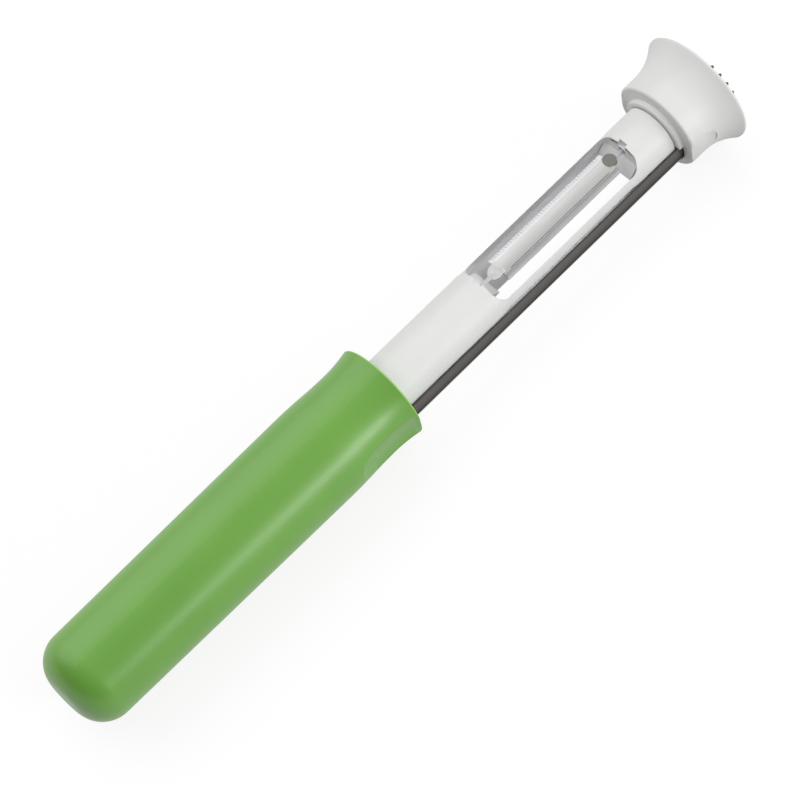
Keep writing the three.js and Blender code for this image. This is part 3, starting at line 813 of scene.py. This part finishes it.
# Peeler blade: a crowned strip with a ground edge, a bent flange beyond a slit, and ears on stub pivots
def blade_loop(x, notch):
    top, bottom = [], []
    for i in range(BLADE_POINTS + 1):
        y = BLADE_LEFT + (BLADE_RIGHT - BLADE_LEFT) * i / BLADE_POINTS
        ground = max(0.0, y - GRIND_Y) / (BLADE_LEFT - GRIND_Y)
        z = BLADE_TOP_Z - BLADE_CROWN_R + math.sqrt(BLADE_CROWN_R ** 2 - y * y)
        z -= BEND_SLOPE * max(0.0, BEND_Y - y)
        top.append((x, y, z - GRIND_FALL * ground ** 2 - notch * min(1.0, 2 * ground)))
        bottom.append((x, y, max(z - BLADE_THICK, BLADE_UNDER_Z)))
    return top + bottom[::-1]


def ear(edge, way, length, stop):
    """Round-ended tab bent down from one end of the strip, with its stub pivot."""
    tip = edge + way * length
    top = [(edge - way, EAR_ROOT_Z), (edge - 0.3 * way, EAR_ROOT_Z - 0.05),
           (edge + 0.3 * way, EAR_ROOT_Z - 0.25), (tip, EAR_TIP_Z)]
    under = EAR_ROOT_Z - EAR_THICK
    bottom = [(tip, EAR_TIP_Z - 0.63), (edge + 0.2 * way, under - 0.3), (edge - 0.3 * way, under - 0.1),
              (edge - way, under)]
    tab = prism("ear", top + bottom, "y", -EAR_HALF, EAR_HALF)
    root = edge - 2 * way
    plan = [(root, -way * EAR_HALF)]
    plan += arc(tip - way * EAR_HALF, 0, EAR_HALF, -90 * way, 180 - 90 * way, 20)
    plan.append((root, way * EAR_HALF))
    carve(tab, prism("plan", plan, "z", 0, SHELL_R), "INTERSECT")
    low, high = sorted((edge + way * STUB_BITE, stop))
    carve(tab, prism("stub", circle(0, PIVOT_Z, STUB_R, 24), "x", low, high), "UNION")
    return tab


def build_blade():
    loops = []
    for k in range(BLADE_STEPS + 1):
        notched = k % 2 and 2 < k < BLADE_STEPS - 2
        x = BLADE_START + (BLADE_END - BLADE_START) * k / BLADE_STEPS
        loops.append(blade_loop(x, SERRATION if notched else 0.0))
    obj = loft("peeler_strip", loops)
    slit = arc(BLADE_START + SLIT_MARGIN, SLIT_Y, SLIT_HALF, 270, 90, 8)
    slit += arc(BLADE_END - SLIT_MARGIN, SLIT_Y, SLIT_HALF, 90, -90, 8)
    carve(obj, prism("slot", slit, "z", 0, SHELL_R))
    carve(obj, ear(BLADE_START, -1, LONG_EAR_LENGTH, STUB_BACK), "UNION")
    carve(obj, ear(BLADE_END, 1, EAR_LENGTH, STUB_FRONT), "UNION")
    carve(obj, prism("boss", circle(BOSS_X, 0, BOSS_R, 40), "z", BOSS_LOW_Z, BOSS_TOP_Z), "UNION")
    dress(obj, "peeler_blade", "peeler", "blade_steel", BLADE, BOSS_SHADE, SLEEVE, GROUND, FLANGE_SHADE, angle=28)
    margin = 0.05
    for face, x, y, z in faces_of(obj):
        face.material_index = 0
        # Faces of the round boss take its painted shade.
        if math.hypot(x - BOSS_X, y) < BOSS_R + margin and face.normal.z > -0.5:
            face.material_index = 1
        elif not BLADE_START - LONG_EAR_LENGTH - margin <= x <= BLADE_END + EAR_LENGTH + margin:
            face.material_index = 2
        elif y > GRIND_Y + margin:
            face.material_index = 3
        # The flange beyond the bend takes its painted shade.
        elif y < BEND_Y:
            face.material_index = 4


build_handle()
build_tube()
build_shell()
build_head()
build_plate()
build_blade()

for name, mat in (("handle_plug", PLUG), ("tang_pin_front", PIN), ("tang_pin_rear", PIN)):
    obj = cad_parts[name]
    obj.data.materials.clear()
    obj.data.materials.append(mat)


# Camera: the photograph's view. Angles are how the tool's axis lies in it, and FOCAL is in pixels.
ANGLE = math.radians(44.1)
TILT = math.radians(13.2)
ROLL = math.radians(23.5)
FOCAL = 3082.6
AWAY = 840.0
PICTURE_PX = 800
MOUTH_PX = (383.7, 390.7)
SENSOR = 36

along = Vector((math.cos(TILT) * math.cos(ANGLE), -math.cos(TILT) * math.sin(ANGLE), math.sin(TILT)))
level_right = Vector((math.sin(ANGLE), math.cos(ANGLE), 0))
toward = level_right.cross(along)
upward = toward * math.cos(ROLL) - level_right * math.sin(ROLL)
leftward = upward.cross(along)
mouth_right = (MOUTH_PX[0] - PICTURE_PX / 2) / FOCAL * AWAY
mouth_down = (MOUTH_PX[1] - PICTURE_PX / 2) / FOCAL * AWAY


def to_part(v):
    """A direction in camera axes (right, down, away) as a direction in the part's frame."""
    return Vector((v.dot(along), v.dot(leftward), v.dot(upward)))


RIGHT = to_part(Vector((1, 0, 0)))
UP = to_part(Vector((0, -1, 0)))
BACK = to_part(Vector((0, 0, -1)))


def build_camera():
    lens = bpy.data.cameras.new("camera")
    lens.sensor_width = SENSOR
    lens.lens = SENSOR * FOCAL / PICTURE_PX
    lens.clip_start = 0.05
    lens.clip_end = 20
    camera = bpy.data.objects.new("camera", lens)
    bpy.context.scene.collection.objects.link(camera)
    spot = to_part(-Vector((mouth_right, mouth_down, AWAY))) + Vector((AXIS_X, 0, AXIS_Z))
    pose = Matrix((RIGHT, UP, BACK)).transposed().to_4x4()
    camera.matrix_world = Matrix.Translation(spot * MM) @ pose
    bpy.context.scene.camera = camera


# Studio: side lamps along the tool, a weak front lamp, a pale world and a floor that keeps a soft shadow
FLOOR_HALF = 4
FLOOR_Z = -0.0002
FLOOR_GREY = 0.2
FLOOR_GLOW = 0.83
WORLD_BEHIND_HANDLE = 0.22
WORLD_BEHIND_HEAD = 0.6


def lamp(name, way, wide, deep, power, shift, distance=1.1):
    """Area lamp whose long side follows the tool; way is its direction in the picture (right, up, back)."""
    light = bpy.data.lights.new(name, "AREA")
    light.shape = "RECTANGLE"
    light.size = wide
    light.size_y = deep
    light.energy = power
    made = bpy.data.objects.new(name, light)
    bpy.context.scene.collection.objects.link(made)
    back = (RIGHT * way[0] + UP * way[1] + BACK * way[2]).normalized()
    across = back.cross(Vector((1, 0, 0))).normalized()
    turn = Matrix((across.cross(back), across, back)).transposed().to_4x4()
    made.matrix_world = Matrix.Translation(Vector((shift, 0, 0.018)) + back * distance) @ turn
    return made


def build_world():
    """A world that brightens from the handle's side to the head's, and is white to the camera."""
    world = bpy.data.worlds.new("studio")
    world.use_nodes = True
    tree = world.node_tree
    sky = tree.nodes["Background"]
    sky.inputs["Color"].default_value = (1, 1, 1, 1)
    place = node(tree, "ShaderNodeTexCoord")
    axes = node(tree, "ShaderNodeSeparateXYZ")
    tree.links.new(place.outputs["Generated"], axes.inputs["Vector"])
    fade = spread(tree, axes.outputs["X"], start=-1, low=WORLD_BEHIND_HANDLE, high=WORLD_BEHIND_HEAD)
    path = node(tree, "ShaderNodeLightPath")
    shown = maths(tree, "MAXIMUM", fade, path.outputs["Is Camera Ray"])
    tree.links.new(shown, sky.inputs["Strength"])
    bpy.context.scene.world = world


def floor_material():
    """Dull grey that glows white to the camera, to mirrors and through glass, so the shadow stays."""
    mat = bpy.data.materials.new("floor")
    mat.use_nodes = True
    tree = mat.node_tree
    tree.nodes.clear()
    paint = node(tree, "ShaderNodeBsdfDiffuse", Color=(FLOOR_GREY, FLOOR_GREY, FLOOR_GREY, 1))
    glow = node(tree, "ShaderNodeEmission")
    path = node(tree, "ShaderNodeLightPath")
    seen = maths(tree, "MAXIMUM", path.outputs["Is Camera Ray"], path.outputs["Is Glossy Ray"])
    seen = maths(tree, "MAXIMUM", seen, path.outputs["Is Transmission Ray"])
    tree.links.new(maths(tree, "MULTIPLY", seen, FLOOR_GLOW), glow.inputs["Strength"])
    both = node(tree, "ShaderNodeAddShader")
    tree.links.new(paint.outputs[0], both.inputs[0])
    tree.links.new(glow.outputs[0], both.inputs[1])
    out = node(tree, "ShaderNodeOutputMaterial")
    tree.links.new(both.outputs[0], out.inputs["Surface"])
    return mat


build_camera()
lamp("left", way=(-0.68, 0.58, 0.38), wide=1.6, deep=1.4, power=8.5, shift=0.2)
front = lamp("front", way=(0, 0, 1), wide=0.3, deep=0.3, power=0.3, shift=0.1, distance=0.45)
front.visible_glossy = False
lamp("right", way=(0.79, -0.18, 0.54), wide=0.9, deep=0.13, power=7.0, shift=0.18)
build_world()

corners = [(x, y, 0) for x, y in rectangle(-FLOOR_HALF, -FLOOR_HALF, FLOOR_HALF, FLOOR_HALF)]
floor = make("floor", corners, [[0, 1, 2, 3]])
floor.location.z = FLOOR_Z
floor.data.materials.append(floor_material())

bpy.context.scene.view_settings.view_transform = "Standard"
